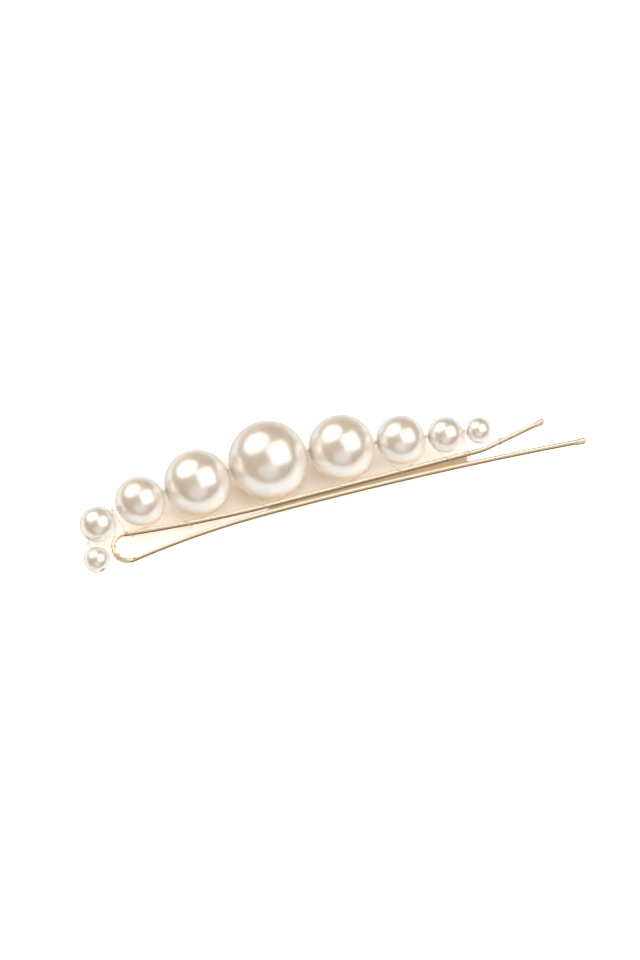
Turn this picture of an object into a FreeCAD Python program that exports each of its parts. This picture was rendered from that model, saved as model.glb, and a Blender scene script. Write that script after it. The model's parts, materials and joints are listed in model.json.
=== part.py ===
import FreeCAD, Part

import math
import os

import Sketcher
from FreeCAD import Placement, Rotation, Vector

# A hair pin bent from one strip of flat wire, with a string of graduated pearls whipped to
# its upper arm. The pin lies in the XY plane: the origin is the centre of the spring loop,
# +X runs along the arms to the tips, +Y points from the arms to the pearls, and +Z is the
# width of the strip. All sizes are in millimetres and degrees.

SIZES = [
    # The strip of flat wire, and the spring loop it is bent round (centre line radius).
    ("strip_thickness", 0.5),
    ("strip_width", 1.25),
    ("edge_rounding", 0.24),
    ("loop_radius", 2.15),
    # Upper arm: leaves the loop sloping down, bows up, runs straight, then flares up.
    ("upper_lead_angle", 4.8),
    ("upper_bow_radius", 218.0),
    ("upper_run_angle", 1.5),
    ("upper_run_length", 31.4),
    ("flare_bend_radius", 12.0),
    ("flare_angle", 12.9),
    ("flare_length", 9.0),
    # Lower arm: leaves the loop sloping up, then two long bows bring it level and down.
    ("lower_lead_angle", 10.8),
    ("lower_bow_radius", 140.0),
    ("lower_run_angle", 2.0),
    ("lower_sag_radius", 637.0),
    ("lower_end_angle", 2.53),
    # Dipped end beads.
    ("tip_wall", 0.09),
    ("tip_length", 1.5),
    ("tip_grip", 1.2),
    ("tip_rounding", 0.3),
    # Pearls, in order along the string from the loop.
    ("pearl_dia_1", 4.0),
    ("pearl_dia_2", 5.5),
    ("pearl_dia_3", 7.5),
    ("pearl_dia_4", 10.0),
    ("pearl_dia_5", 12.0),
    ("pearl_dia_6", 10.0),
    ("pearl_dia_7", 7.5),
    ("pearl_dia_8", 5.5),
    ("pearl_dia_9", 4.0),
    ("bore_dia", 0.9),
    ("bore_rounding", 0.12),
    # Where the string lies: the largest pearl's station, and the gaps round each pearl.
    ("centre_station", 24.2),
    ("pearl_gap", 0.45),
    ("loop_pearl_gap", 0.9),
    ("arm_clearance", 0.85),
    ("loop_clearance", 0.6),
    # Threads of clear line, through the pearls and round the arm.
    ("string_dia", 0.3),
    ("binding_dia", 0.28),
    ("thread_clearance", 0.03),
    ("binding_advance", 1.8),
    ("loop_advance", 0.3),
    ("tie_advance", 0.5),
    ("tail_bend", 0.45),
    # Where each turn of the binding thread crosses the upper arm.
    ("wrap_station_1", 1.1),
    ("wrap_station_2", 10.1),
    ("wrap_station_3", 22.2),
    ("wrap_station_4", 34.2),
    ("wrap_station_5", 43.7),
    ("wrap_station_6", 51.3),
    ("wrap_station_7", 54.1),
    # Where the threads cross the loop (angle from +X) and the string's far end crosses the flare.
    ("loop_wrap_angle", 163.0),
    ("string_start_angle", 212.0),
    ("string_end_station", 59.5),
]
PEARL_COUNT = 9
WRAP_COUNT = 7

# How a thread sits: how squarely it turns the strip's edges, how far its middle stands off a
# pearl it presses on (in thread diameters), and how far it bows out between two pearls (as a
# share of the gap).
EDGE_SHARPNESS = 2.0
PEARL_STANDOFF = 0.7
NECK_BULGE = 0.125

# Winding angles: a turn of the binding thread runs from its start at the front to its end at
# the back, and a tie of the string runs a little past one turn.
FRONT_START = 40
BACK_END = 320
FULL_TURN = 360
TIE_START = 25
TIE_END = 420

# How finely each stretch of thread is laid out: degrees between points round the strip, and
# steps in each leg, neck, bore and tail.
WINDING_STEP = 20
LEG_STEPS = 6
NECK_STEPS = 4
BORE_STEPS = 3
TAIL_STEPS = 3

# A bend below this angle (radians) is left straight; spans shorter than this are dropped.
STRAIGHT_ENOUGH = 1e-3
SHORTEST_SPAN = 1e-4

# Lengths this close count as equal, and rounds needed to settle a pearl's place on the arm.
TOLERANCE = 1e-6
SETTLING_ROUNDS = 20

doc = FreeCAD.newDocument("pearl_hair_pin")
sheet = doc.addObject("Spreadsheet::Sheet", "Dimensions")
for row, (alias, value) in enumerate(SIZES, start=1):
    sheet.set("A%d" % row, alias)
    sheet.set("B%d" % row, str(value))
    sheet.setAlias("B%d" % row, alias)
doc.recompute()


def size(alias):
    """The value of a driving dimension, read back from the sheet."""
    return float(sheet.get(alias))


def heading_vector(angle):
    """Unit vector in the XY plane at an angle from +X."""
    return Vector(math.cos(math.radians(angle)), math.sin(math.radians(angle)), 0)


# ---------------------------------------------------------------- centre lines of the strip

class CentreLine:
    """A chain of tangent lines and arcs in the XY plane, each bound to named dimensions."""

    def __init__(self, point, heading):
        self.points = [point]
        self.headings = [heading]
        self.pieces = []

    def line(self, length, length_name):
        start = self.points[-1]
        self.pieces.append(("line", length, 0.0, length_name, None))
        self.points.append(start + heading_vector(self.headings[-1]) * length)
        self.headings.append(self.headings[-1])

    def arc(self, radius, turn, radius_name, turn_expression):
        """Turns left for a positive angle, right for a negative one."""
        side = math.copysign(1, turn)
        heading = self.headings[-1]
        centre = self.points[-1] + heading_vector(heading + 90) * (side * radius)
        self.pieces.append(("arc", radius, turn, radius_name, turn_expression))
        self.points.append(centre - heading_vector(heading + turn + 90) * (side * radius))
        self.headings.append(heading + turn)

    def centre(self, index):
        side = math.copysign(1, self.pieces[index][2])
        radius = self.pieces[index][1]
        return self.points[index] + heading_vector(self.headings[index] + 90) * (side * radius)

    def at(self, station):
        """The point of the line at this X, and the heading there."""
        for index, (kind, radius, turn, _, _) in enumerate(self.pieces):
            if station > self.points[index + 1].x and index < len(self.pieces) - 1:
                continue
            if kind == "line":
                heading = self.headings[index]
                along = (station - self.points[index].x) / math.cos(math.radians(heading))
                return self.points[index] + heading_vector(heading) * along, heading
            centre = self.centre(index)
            side = math.copysign(1, turn)
            heading = math.degrees(math.asin(side * (station - centre.x) / radius))
            return centre - heading_vector(heading + 90) * (side * radius), heading


def upper_line():
    lead, run, flare = size("upper_lead_angle"), size("upper_run_angle"), size("flare_angle")
    line = CentreLine(heading_vector(90 - lead) * size("loop_radius"), -lead)
    line.arc(size("upper_bow_radius"), lead + run, "upper_bow_radius",
             "Dimensions.upper_lead_angle + Dimensions.upper_run_angle")
    line.line(size("upper_run_length"), "upper_run_length")
    line.arc(size("flare_bend_radius"), flare - run, "flare_bend_radius",
             "Dimensions.flare_angle - Dimensions.upper_run_angle")
    line.line(size("flare_length"), "flare_length")
    return line


def lower_line():
    lead, run, end = size("lower_lead_angle"), size("lower_run_angle"), size("lower_end_angle")
    line = CentreLine(heading_vector(lead - 90) * size("loop_radius"), lead)
    line.arc(size("lower_bow_radius"), run - lead, "lower_bow_radius",
             "Dimensions.lower_lead_angle - Dimensions.lower_run_angle")
    line.arc(size("lower_sag_radius"), -end - run, "lower_sag_radius",
             "Dimensions.lower_run_angle + Dimensions.lower_end_angle")
    return line


# ------------------------------------------------------------------------- pin: strip bodies

def new_body(name):
    body = doc.addObject("PartDesign::Body", name)
    body.Label = name
    return body


def new_sketch(body, name, plane_role):
    plane = next(f for f in body.Origin.OriginFeatures if f.Role == plane_role)
    sketch = body.newObject("Sketcher::SketchObject", name)
    sketch.AttachmentSupport = [(plane, "")]
    sketch.MapMode = "FlatFace"
    return sketch


def constrain(sketch, name, expression, *args):
    """Adds a dimension to the sketch and binds it to the sheet."""
    index = sketch.addConstraint(Sketcher.Constraint(*args))
    sketch.renameConstraint(index, name)
    sketch.setExpression("Constraints." + name, expression)


START, END, CENTRE = 1, 2, 3
ORIGIN = (-1, 1)
X_AXIS = -1


def add_arc(sketch, centre, radius, start_angle, end_angle):
    circle = Part.Circle(centre, Vector(0, 0, 1), radius)
    arc = Part.ArcOfCircle(circle, math.radians(start_angle), math.radians(end_angle))
    return sketch.addGeometry(arc, False)


def draw_spoke(sketch, angle, name, expression):
    """Construction line from the loop's centre to the end of the loop at this angle."""
    spoke = sketch.addGeometry(
        Part.LineSegment(Vector(0, 0, 0), heading_vector(angle) * size("loop_radius")), True)
    sketch.addConstraint(Sketcher.Constraint("Coincident", spoke, START, *ORIGIN))
    constrain(sketch, name + "_angle", expression, "Angle", X_AXIS, START, spoke, START, math.radians(angle))
    return spoke


def draw_centre_line(sketch, line, spoke):
    """Draws the chain, tangent throughout, starting square to the end of the spoke."""
    previous = None
    for index, (kind, value, turn, name, turn_expression) in enumerate(line.pieces):
        start_name, end_name = START, END
        if kind == "line":
            piece = sketch.addGeometry(Part.LineSegment(line.points[index], line.points[index + 1]), False)
            constrain(sketch, name, "Dimensions." + name, "Distance", piece, value)
        else:
            first = line.headings[index] - math.copysign(90, turn)
            if turn > 0:
                piece = add_arc(sketch, line.centre(index), value, first, first + turn)
            else:
                piece = add_arc(sketch, line.centre(index), value, first + turn, first)
                start_name, end_name = END, START
            constrain(sketch, name, "Dimensions." + name, "Radius", piece, value)
            constrain(sketch, name + "_turn", turn_expression, "Angle", piece, math.radians(abs(turn)))
        if previous is None:
            sketch.addConstraint(
                Sketcher.Constraint("Perpendicular", piece, start_name, spoke, END))
        else:
            sketch.addConstraint(
                Sketcher.Constraint("Tangent", previous[0], previous[1], piece, start_name))
        previous = (piece, end_name)


def draw_strip_section(sketch, grow=0.0, grow_expression=""):
    """Rectangle centred on the sketch's origin: thickness along its X, width along its Y."""
    half_t = size("strip_thickness") / 2 + grow
    half_w = size("strip_width") / 2 + grow
    corners = [Vector(-half_t, -half_w, 0), Vector(half_t, -half_w, 0),
               Vector(half_t, half_w, 0), Vector(-half_t, half_w, 0)]
    for index in range(4):
        sketch.addGeometry(Part.LineSegment(corners[index], corners[(index + 1) % 4]), False)
    for index in range(4):
        sketch.addConstraint(Sketcher.Constraint("Coincident", index, END, (index + 1) % 4, START))
        direction = "Horizontal" if index % 2 == 0 else "Vertical"
        sketch.addConstraint(Sketcher.Constraint(direction, index))
    sketch.addConstraint(Sketcher.Constraint("Symmetric", 0, START, 1, END, *ORIGIN))
    constrain(sketch, "thickness", "Dimensions.strip_thickness" + grow_expression,
              "Distance", 0, 2 * half_t)
    constrain(sketch, "width", "Dimensions.strip_width" + grow_expression,
              "Distance", 1, 2 * half_w)


def place_across(sketch, point, heading):
    """Sets a YZ-plane sketch square across the strip at a point of its centre line."""
    sketch.AttachmentOffset = Placement(Vector(point.y, 0, point.x), Rotation(Vector(0, 1, 0), heading))


def sweep_strip(body, spine, point, heading):
    """Sweeps the strip's section along the spine and rounds the strip's four long edges."""
    section = new_sketch(body, body.Name + "_section", "YZ_Plane")
    place_across(section, point, heading)
    draw_strip_section(section)
    doc.recompute()
    pipe = body.newObject("PartDesign::AdditivePipe", body.Name + "_sweep")
    pipe.Profile = section
    pipe.Spine = (spine, ["Edge%d" % n for n in range(1, len(spine.Shape.Edges) + 1)])
    pipe.Transformation = "Constant"
    doc.recompute()
    long_edges = []
    for number, edge in enumerate(pipe.Shape.Edges, start=1):
        start, end = [vertex.Point for vertex in edge.Vertexes]
        is_level = abs(start.z - end.z) < TOLERANCE
        if is_level and start.distanceToPoint(end) > size("strip_width"):
            long_edges.append("Edge%d" % number)
    rounding = body.newObject("PartDesign::Fillet", body.Name + "_edges")
    rounding.Base = (pipe, long_edges)
    rounding.Radius = size("edge_rounding")
    rounding.setExpression("Radius", "Dimensions.edge_rounding")
    doc.recompute()
    return body


def make_arm(name, line, spoke_angle, spoke_expression):
    body = new_body(name)
    spine = new_sketch(body, name + "_centre_line", "XY_Plane")
    spoke = draw_spoke(spine, spoke_angle, "lead", spoke_expression)
    constrain(spine, "loop_radius", "Dimensions.loop_radius", "Distance", spoke, size("loop_radius"))
    draw_centre_line(spine, line, spoke)
    doc.recompute()
    return sweep_strip(body, spine, line.points[0], line.headings[0])


def make_spring_loop():
    top = 90 - size("upper_lead_angle")
    bottom = 270 + size("lower_lead_angle")
    body = new_body("spring_loop")
    spine = new_sketch(body, "spring_loop_centre_line", "XY_Plane")
    top_spoke = draw_spoke(spine, top, "top", "90 - Dimensions.upper_lead_angle")
    bottom_spoke = draw_spoke(spine, bottom - 360, "bottom", "Dimensions.lower_lead_angle - 90")
    arc = add_arc(spine, Vector(0, 0, 0), size("loop_radius"), top, bottom)
    spine.addConstraint(Sketcher.Constraint("Coincident", arc, CENTRE, *ORIGIN))
    spine.addConstraint(Sketcher.Constraint("Coincident", arc, START, top_spoke, END))
    spine.addConstraint(Sketcher.Constraint("Coincident", arc, END, bottom_spoke, END))
    constrain(spine, "loop_radius", "Dimensions.loop_radius", "Radius", arc, size("loop_radius"))
    doc.recompute()
    return sweep_strip(body, spine, heading_vector(top) * size("loop_radius"), top + 90)


upper = upper_line()
lower = lower_line()
make_arm("upper_arm", upper, 90 - size("upper_lead_angle"), "90 - Dimensions.upper_lead_angle")
make_arm("lower_arm", lower, size("lower_lead_angle") - 90, "Dimensions.lower_lead_angle - 90")
make_spring_loop()


# ------------------------------------------------------------------------- dipped end beads

def make_tip(name, arm, point, heading):
    """A thin bead of set resin over the end of an arm, hollow where it grips the strip."""
    body = new_body(name + "_bead")
    wall = size("tip_wall")
    grip = size("tip_grip")
    length = size("tip_length")
    back = point - heading_vector(heading) * grip
    outside = new_sketch(body, name + "_outside", "YZ_Plane")
    place_across(outside, back, heading)
    draw_strip_section(outside, wall, " + 2 * Dimensions.tip_wall")
    bead = body.newObject("PartDesign::Pad", name + "_pad")
    bead.Profile = outside
    bead.Length = length
    bead.setExpression("Length", "Dimensions.tip_length")
    doc.recompute()
    rounding = body.newObject("PartDesign::Fillet", name + "_rounding")
    rounding.Base = (bead, ["Edge%d" % number for number in range(1, len(bead.Shape.Edges) + 1)])
    rounding.Radius = size("tip_rounding")
    rounding.setExpression("Radius", "Dimensions.tip_rounding")
    tip = doc.addObject("Part::Cut", name)
    tip.Label = name
    tip.Base = body
    tip.Tool = arm
    return tip


# ------------------------------------------------------------------------------- pearl string

def pearl_radii():
    return [size("pearl_dia_%d" % number) / 2 for number in range(1, PEARL_COUNT + 1)]


def centre_over_arm(station, radius):
    """Centre of a pearl of this radius that stands over the upper arm at this station."""
    point, _ = upper.at(station)
    return point + Vector(0, size("strip_thickness") / 2 + size("arm_clearance") + radius, 0)


def next_over_arm(centre, spacing, radius, side):
    """Centre of the neighbour at this spacing, found by stepping along the arm."""
    station = centre.x + side * spacing
    for _ in range(SETTLING_ROUNDS):
        rise = centre_over_arm(station, radius).y - centre.y
        station = centre.x + side * math.sqrt(spacing ** 2 - rise ** 2)
    return centre_over_arm(station, radius)


def next_round_loop(centre, spacing, radius):
    """Centre of the neighbour at this spacing, with the pearl held at its clearance off the loop."""
    reach = size("loop_radius") + size("strip_thickness") / 2 + size("loop_clearance") + radius
    away = centre.Length
    opening = math.acos((away ** 2 + reach ** 2 - spacing ** 2) / (2 * away * reach))
    return heading_vector(math.degrees(math.atan2(centre.y, centre.x) + opening)) * reach


def pearl_centres(radii):
    """Lays the string out from the largest pearl: over the arm both ways, then round the loop."""
    largest = radii.index(max(radii))
    centres = {largest: centre_over_arm(size("centre_station"), radii[largest])}
    for index in range(largest + 1, len(radii)):
        spacing = radii[index - 1] + radii[index] + size("pearl_gap")
        centres[index] = next_over_arm(centres[index - 1], spacing, radii[index], 1)
    for index in range(largest - 1, 1, -1):
        spacing = radii[index + 1] + radii[index] + size("pearl_gap")
        centres[index] = next_over_arm(centres[index + 1], spacing, radii[index], -1)
    for index in (1, 0):
        spacing = radii[index + 1] + radii[index] + size("loop_pearl_gap")
        centres[index] = next_round_loop(centres[index + 1], spacing, radii[index])
    return [centres[index] for index in range(len(radii))]


def bore_directions(start_tie, centres, end_tie):
    """Each bore points from what the string leaves before the pearl to what it reaches after."""
    stops = [start_tie] + centres + [end_tie]
    return [(stops[index + 2] - stops[index]).normalize() for index in range(len(centres))]


def make_pearl(number, centre, direction):
    """A ball turned about its bore, with the mouths of the bore rounded."""
    name = "pearl_%d" % number
    body = new_body(name)
    radius = size("pearl_dia_%d" % number) / 2
    bore = size("bore_dia") / 2
    half_length = math.sqrt(radius ** 2 - bore ** 2)
    mouth_angle = math.degrees(math.acos(half_length / radius))
    profile = new_sketch(body, name + "_profile", "XY_Plane")
    outer = add_arc(profile, Vector(0, 0, 0), radius, mouth_angle, 180 - mouth_angle)
    wall = profile.addGeometry(
        Part.LineSegment(Vector(-half_length, bore, 0), Vector(half_length, bore, 0)), False)
    profile.addConstraint(Sketcher.Constraint("Coincident", outer, CENTRE, *ORIGIN))
    profile.addConstraint(Sketcher.Constraint("Coincident", outer, START, wall, END))
    profile.addConstraint(Sketcher.Constraint("Coincident", outer, END, wall, START))
    profile.addConstraint(Sketcher.Constraint("Horizontal", wall))
    constrain(profile, "pearl_radius", "Dimensions.pearl_dia_%d / 2" % number, "Radius", outer, radius)
    constrain(profile, "bore_radius", "Dimensions.bore_dia / 2",
              "DistanceY", *ORIGIN, wall, START, bore)
    ball = body.newObject("PartDesign::Revolution", name + "_ball")
    ball.Profile = profile
    ball.ReferenceAxis = (profile, ["H_Axis"])
    ball.Angle = 360
    doc.recompute()
    mouths = ["Edge%d" % n for n, edge in enumerate(ball.Shape.Edges, start=1)
              if isinstance(edge.Curve, Part.Circle) and abs(edge.Curve.Radius - bore) < TOLERANCE]
    rounding = body.newObject("PartDesign::Fillet", name + "_mouths")
    rounding.Base = (ball, mouths)
    rounding.Radius = size("bore_rounding")
    rounding.setExpression("Radius", "Dimensions.bore_rounding")
    body.Placement = Placement(centre, Rotation(Vector(1, 0, 0), direction))
    return body


# ----------------------------------------------------------------------------------- threads

def loop_at(angle):
    """Point and heading of the strip's centre line on the loop, headed round towards the upper arm."""
    return heading_vector(angle) * size("loop_radius"), angle - 90


def round_strip(point, heading, thread_dia, first, last, advance):
    """Points of a thread wound round the strip at a point of its centre line.

    Winding angles: 0 is the pearl side, 90 the front edge (+Z), 180 the inside, 270 the back
    edge. Between the first and the last the thread moves along the strip by the advance.
    """
    reach = size("strip_thickness") / 2 + thread_dia / 2 + size("thread_clearance")
    edge_centre = (size("strip_width") - size("strip_thickness")) / 2
    outward, along = heading_vector(heading + 90), heading_vector(heading)
    steps = math.ceil((last - first) / WINDING_STEP)
    points = []
    for step in range(steps + 1):
        angle = first + (last - first) * step / steps
        across = math.sin(math.radians(angle))
        height = reach * across + edge_centre * max(-1, min(1, EDGE_SHARPNESS * across))
        shift = advance * (step / steps - 0.5)
        points.append(point + outward * (reach * math.cos(math.radians(angle)))
                      + along * shift + Vector(0, 0, height))
    return points


def round_pearl(start, end, centre, reach):
    """Points of a taut thread between two points, pressed round a ball where it is in the way."""
    to_start, to_end = start - centre, end - centre
    free_start = math.acos(min(1, reach / to_start.Length))
    free_end = math.acos(min(1, reach / to_end.Length))
    opening = to_start.getAngle(to_end)
    if opening <= free_start + free_end:
        return [start + (end - start) * (step / LEG_STEPS) for step in range(1, LEG_STEPS)]
    axis = to_start.cross(to_end)
    points = []
    for step in range(LEG_STEPS + 1):
        turned = free_start + (opening - free_start - free_end) * step / LEG_STEPS
        spoke = Rotation(axis, math.degrees(turned)).multVec(to_start)
        points.append(centre + spoke.normalize() * reach)
    return points


def string_mouths(centre, direction, radius):
    """Where the string enters and leaves a pearl."""
    half_length = math.sqrt(radius ** 2 - (size("bore_dia") / 2) ** 2)
    return centre - direction * half_length, centre + direction * half_length


def necks(centres, directions, radii):
    """The middle of the string between each pearl and the next, and its heading there."""
    found = []
    for index in range(len(centres) - 1):
        leave = string_mouths(centres[index], directions[index], radii[index])[1]
        enter = string_mouths(centres[index + 1], directions[index + 1], radii[index + 1])[0]
        span = enter - leave
        bulge = (directions[index] - directions[index + 1]) * (span.Length * NECK_BULGE)
        found.append(((leave + enter) / 2 + bulge, math.degrees(math.atan2(span.y, span.x))))
    return found


def over_string(neck, heading):
    """Points of the binding thread over the string's outer side, from its back to its front."""
    reach = (size("string_dia") + size("binding_dia")) / 2 + size("thread_clearance")
    outward = heading_vector(heading + 90)
    angles = [math.radians(-90 + 180 * step / NECK_STEPS) for step in range(NECK_STEPS + 1)]
    return [neck + outward * (reach * math.cos(a)) + Vector(0, 0, reach * math.sin(a)) for a in angles]


def binding_points(centres, directions, radii):
    """The whip: over the string at a neck, down round the next pearl, once round the strip,
    and up behind the same pearl to the neck after it."""
    stations = [upper.at(size("wrap_station_%d" % number)) for number in range(1, WRAP_COUNT + 1)]
    crossings = [loop_at(size("loop_wrap_angle"))] + stations
    advances = ([size("loop_advance")] + [size("binding_advance")] * (WRAP_COUNT - 1)
                + [size("tie_advance") * 2])
    reaches = [radius + PEARL_STANDOFF * size("binding_dia") for radius in radii]
    points = []
    for index, (neck, neck_heading) in enumerate(necks(centres, directions, radii)):
        over = over_string(neck, neck_heading)
        if index > 0:
            points += round_pearl(points[-1], over[0], centres[index], reaches[index])
        is_last = index == len(centres) - 2
        last_angle = BACK_END + FULL_TURN if is_last else BACK_END
        wound = round_strip(*crossings[index], size("binding_dia"), FRONT_START, last_angle, advances[index])
        leg = round_pearl(over[-1], wound[0], centres[index + 1], reaches[index + 1])
        points += over + leg + wound
    return points


def tail(mouth, outwards, tie):
    """Points of the string's end as it comes out of a mouth and bends over towards its tie."""
    bend = size("tail_bend")
    to_tie = tie - mouth
    side = (to_tie - outwards * to_tie.dot(outwards)).normalize()
    turns = [math.radians(90 * step / TAIL_STEPS) for step in range(TAIL_STEPS + 1)]
    start = mouth + outwards * size("string_dia")
    return [start + outwards * (bend * math.sin(a)) + side * (bend * (1 - math.cos(a))) for a in turns]


def string_points(centres, directions, radii, start_wrap, end_wrap):
    """The string: a tie on the loop, straight through every bore, and a tie on the flare."""
    first_mouth = string_mouths(centres[0], directions[0], radii[0])[0]
    last_mouth = string_mouths(centres[-1], directions[-1], radii[-1])[1]
    points = tail(first_mouth, -directions[0], start_wrap[0])
    points = list(reversed(start_wrap)) + list(reversed(points))
    for centre, direction, radius in zip(centres, directions, radii):
        enter, leave = string_mouths(centre, direction, radius)
        points += [enter + (leave - enter) * (step / BORE_STEPS) for step in range(BORE_STEPS + 1)]
    return points + tail(last_mouth, directions[-1], end_wrap[0]) + end_wrap


def bent_path(points):
    """A smooth chain through the middles of the spans between the points: each point is
    rounded off by an arc, and what is left of the longer of its two spans stays straight."""
    edges = []
    reached = points[0]
    for before, corner, after in zip(points, points[1:], points[2:]):
        arriving, leaving = corner - before, after - corner
        cut = min(arriving.Length, leaving.Length) / 2
        if arriving.getAngle(leaving) < STRAIGHT_ENOUGH:
            continue
        arc_start = corner - arriving.normalize() * cut
        arc_end = corner + leaving.normalize() * cut
        turn = arriving.getAngle(leaving)
        radius = cut / math.tan(turn / 2)
        to_centre = (leaving - arriving).normalize()
        middle = corner + to_centre * (radius / math.cos(turn / 2) - radius)
        if reached.distanceToPoint(arc_start) > SHORTEST_SPAN:
            edges.append(Part.LineSegment(reached, arc_start).toShape())
        edges.append(Part.Arc(arc_start, middle, arc_end).toShape())
        reached = arc_end
    edges.append(Part.LineSegment(reached, points[-1]).toShape())
    return Part.Wire(edges)


def make_thread(name, points, diameter):
    """A round thread laid along the points."""
    path = bent_path(points)
    section = Part.Wire([Part.Circle(points[0], points[1] - points[0], diameter / 2).toShape()])
    thread = doc.addObject("Part::Feature", name)
    thread.Label = name
    thread.Shape = path.makePipeShell([section], True, False)
    return thread


make_tip("upper_tip", doc.getObject("upper_arm"), upper.points[-1], upper.headings[-1])
make_tip("lower_tip", doc.getObject("lower_arm"), lower.points[-1], lower.headings[-1])

radii = pearl_radii()
centres = pearl_centres(radii)
start_wrap = round_strip(*loop_at(size("string_start_angle")), size("string_dia"),
                         TIE_START, TIE_END, -size("tie_advance"))
end_wrap = round_strip(*upper.at(size("string_end_station")), size("string_dia"),
                       TIE_START, TIE_END, size("tie_advance"))
directions = bore_directions(start_wrap[0], centres, end_wrap[0])
for number in range(1, PEARL_COUNT + 1):
    make_pearl(number, centres[number - 1], directions[number - 1])
make_thread("string_thread", string_points(centres, directions, radii, start_wrap, end_wrap),
          size("string_dia"))
make_thread("binding_thread", binding_points(centres, directions, radii), size("binding_dia"))

# ------------------------------------------------------------------------- check and write out

NODES = (["upper_arm", "spring_loop", "lower_arm", "upper_tip", "lower_tip"]
         + ["pearl_%d" % number for number in range(1, PEARL_COUNT + 1)]
         + ["string_thread", "binding_thread"])

doc.recompute()
for item in doc.Objects:
    if "Invalid" in item.State or "Error" in item.State:
        raise RuntimeError("%s failed: %s" % (item.Name, item.State))
parts = {name: doc.getObject(name) for name in NODES}
for name, part in parts.items():
    if part.Shape.isNull() or not part.Shape.isValid() or len(part.Shape.Solids) != 1:
        raise RuntimeError("%s has no single valid solid" % name)

os.makedirs("parts", exist_ok=True)
for name, part in parts.items():
    part.Shape.exportStep("parts/%s.step" % part.Label)
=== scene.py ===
import json
import math

import bmesh
import bpy
from mathutils import Matrix, Quaternion, Vector, noise


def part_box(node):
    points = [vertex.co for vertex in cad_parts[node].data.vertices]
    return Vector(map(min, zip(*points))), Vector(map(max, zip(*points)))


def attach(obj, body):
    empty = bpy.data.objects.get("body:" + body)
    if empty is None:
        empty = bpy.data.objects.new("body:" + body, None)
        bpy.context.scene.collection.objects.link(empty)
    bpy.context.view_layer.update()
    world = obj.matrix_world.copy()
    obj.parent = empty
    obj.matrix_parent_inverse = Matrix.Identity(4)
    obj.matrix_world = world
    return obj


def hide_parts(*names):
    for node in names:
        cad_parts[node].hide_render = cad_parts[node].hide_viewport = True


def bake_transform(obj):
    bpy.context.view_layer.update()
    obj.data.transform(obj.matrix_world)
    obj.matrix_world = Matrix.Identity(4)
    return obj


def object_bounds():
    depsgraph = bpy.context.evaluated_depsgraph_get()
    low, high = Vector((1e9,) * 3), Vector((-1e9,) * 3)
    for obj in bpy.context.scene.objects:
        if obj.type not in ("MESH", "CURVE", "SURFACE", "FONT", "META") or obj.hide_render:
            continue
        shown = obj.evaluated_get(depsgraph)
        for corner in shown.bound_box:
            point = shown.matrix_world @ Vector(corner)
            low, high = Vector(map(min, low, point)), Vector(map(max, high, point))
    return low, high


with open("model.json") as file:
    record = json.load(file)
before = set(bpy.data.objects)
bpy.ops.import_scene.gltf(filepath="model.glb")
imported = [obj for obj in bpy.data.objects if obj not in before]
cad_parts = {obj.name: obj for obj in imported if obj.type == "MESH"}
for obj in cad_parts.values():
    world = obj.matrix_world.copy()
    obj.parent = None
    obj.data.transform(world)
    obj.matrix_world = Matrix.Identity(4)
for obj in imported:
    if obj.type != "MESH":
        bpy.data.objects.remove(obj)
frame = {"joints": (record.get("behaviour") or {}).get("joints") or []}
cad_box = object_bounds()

# The looks of a hair pin with nine pearls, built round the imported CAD. Lengths are written
# in millimetres and turned into metres by MM where a mesh is made.

MM = 0.001
UP = Vector((0, 0, 1))
PEARLS = 9

# Strip of flat wire: section and centre lines, as the CAD has them. A chain is made of tangent
# pieces: (radius, turn in degrees) for an arc and (length, 0) for a straight piece.
THICKNESS = 0.5
WIDTH = 1.25
EDGE_ROUNDING = 0.24
LOOP_RADIUS = 2.15
UPPER_LEAD = 4.8
LOWER_LEAD = 10.8
UPPER_CHAIN = ((218.0, 6.3), (31.4, 0), (12.0, 11.4), (9.0, 0))
LOWER_CHAIN = ((140.0, -8.8), (637.0, -4.53))
STATION_STEP = 0.5
LOOP_STEP = 0.15
CORNER_STEPS = 6

# Dipped end beads.
TIP_WALL = 0.09
TIP_GRIP = 1.2
TIP_LENGTH = 1.5
TIP_CLEARANCE = 0.004
TIP_OVERRUN = 0.02
TIP_LIP = 0.16
TIP_DOME = 0.3
LEAST_FLAT = 0.005
LIP_STEPS = 5
DOME_STEPS = 8

# Pearls: the bore, and the faint unevenness of the dipped coat.
BORE_DIA = 0.9
BORE_ROUNDING = 0.12
COAT_UNEVENNESS = 0.004
COAT_PATCH = 2.6
BALL_STEPS = 72
MOUTH_STEPS = 5
WALL_STEPS = 8
PEARL_SEGMENTS = 96

# Threads of clear line, through the pearls and round the arm.
STRING_DIA = 0.3
BINDING_DIA = 0.28
THREAD_CLEARANCE = 0.03
PEARL_STANDOFF = 0.7
WRAP_STATIONS = (1.1, 10.1, 22.2, 34.2, 43.7, 51.3, 54.1)
LOOP_WRAP_ANGLE = 163.0
STRING_START_ANGLE = 212.0
STRING_END_STATION = 59.5
BINDING_ADVANCE = 1.8
LOOP_ADVANCE = 0.3
TIE_ADVANCE = 0.5
TAIL_BEND = 0.45
NECK_BULGE = 1 / 8

# Winding angles round the strip, in degrees from its pearl side.
FRONT_START = 40
BACK_END = 320
FULL_TURN = 360
TIE_START = 25
TIE_END = 420
EDGE_SHARPNESS = 2.0

# Fineness of the threads, and the rounding of their ends as (way back, width) in radii.
WINDING_STEP = 12
LEG_STEPS = 8
NECK_STEPS = 6
BORE_STEPS = 3
TAIL_STEPS = 4
EASING_STEPS = 4
THREAD_SIDES = 12
THREAD_CAP = ((-0.5, 0.45), (-0.35, 0.8))

# Where a noise pattern, which keeps near 0.5, is spread over the whole of its effect.
NOISE_SPAN = (0.3, 0.7)

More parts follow.
